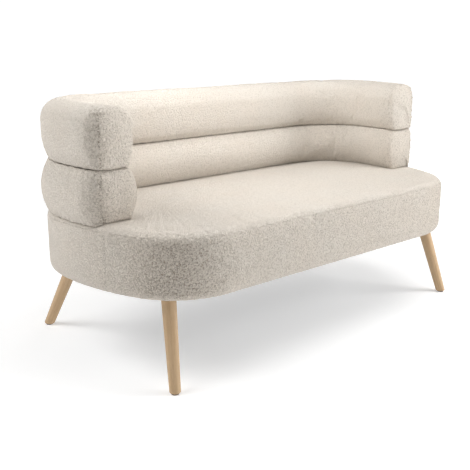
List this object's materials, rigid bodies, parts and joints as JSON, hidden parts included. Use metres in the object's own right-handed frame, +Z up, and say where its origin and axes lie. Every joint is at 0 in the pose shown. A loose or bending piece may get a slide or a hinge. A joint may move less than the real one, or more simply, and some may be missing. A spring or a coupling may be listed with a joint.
{
  "type": "two-seat sofa",
  "caption": "Low two-seat sofa with rounded ends, a horseshoe back of two stacked padded rolls, a thick one-piece seat in looped cream fabric and splayed round wooden legs.",
  "frame": {"origin": "on the floor, under the middle of the sofa's bounding box", "axes": "+X along the length of the seat, to the right hand of someone facing the sofa; +Y towards the back; +Z up"},
  "size_m": [1.495, 0.749, 0.76],
  "materials": {
    "looped_fabric": "matte",
    "wadding": "matte",
    "foam": "matte",
    "felt": "matte",
    "dust_cloth": "matte",
    "oak": "satin",
    "beech": "matte",
    "plywood": "matte",
    "hardboard": "matte",
    "plated_steel": "satin",
    "spring_steel": "satin",
    "nylon": "matte"
  },
  "bodies": {
    "root": {"arm_end_board_left": "plywood", "arm_end_board_right": "plywood", "back_bolt_washers": "plated_steel", "back_bolts": "plated_steel", "back_bottom_rail": "plywood", "back_inner_skin": "hardboard", "back_middle_rail": "plywood", "back_mount_blocks": "beech", "back_outer_skin": "hardboard", "back_post_1": "beech", "back_post_2": "beech", "back_post_3": "beech", "back_post_4": "beech", "back_post_5": "beech", "back_post_6": "beech", "back_post_7": "beech", "back_post_8": "beech", "back_tee_nuts": "plated_steel", "back_top_rail": "plywood", "dust_cover": "dust_cloth", "dust_cover_staples": "plated_steel", "glide_front_left": "nylon", "glide_front_right": "nylon", "glide_rear_left": "nylon", "glide_rear_right": "nylon", "hanger_bolts": "plated_steel", "leg_block_front_left": "beech", "leg_block_front_right": "beech", "leg_block_rear_left": "beech", "leg_block_rear_right": "beech", "leg_front_left": "oak", "leg_front_right": "oak", "leg_rear_left": "oak", "leg_rear_right": "oak", "lower_roll_cover": "looped_fabric", "lower_roll_foam_left": "foam", "lower_roll_foam_right": "foam", "lower_roll_wadding": "wadding", "seat_base_ring": "plywood", "seat_border_cover": "looped_fabric", "seat_cross_rail_left": "beech", "seat_cross_rail_right": "beech", "seat_edge_board": "hardboard", "seat_end_rail_left": "beech", "seat_end_rail_right": "beech", "seat_foam": "foam", "seat_front_rail": "beech", "seat_rear_rail": "beech", "seat_side_foam": "foam", "seat_top_cover": "looped_fabric", "seat_top_ring": "plywood", "seat_wadding": "wadding", "spring_clips": "plated_steel", "spring_felt": "felt", "threaded_inserts": "plated_steel", "upper_roll_cover": "looped_fabric", "upper_roll_foam_left": "foam", "upper_roll_foam_right": "foam", "upper_roll_wadding": "wadding", "zigzag_springs": "spring_steel"}
  },
  "joints": []
}
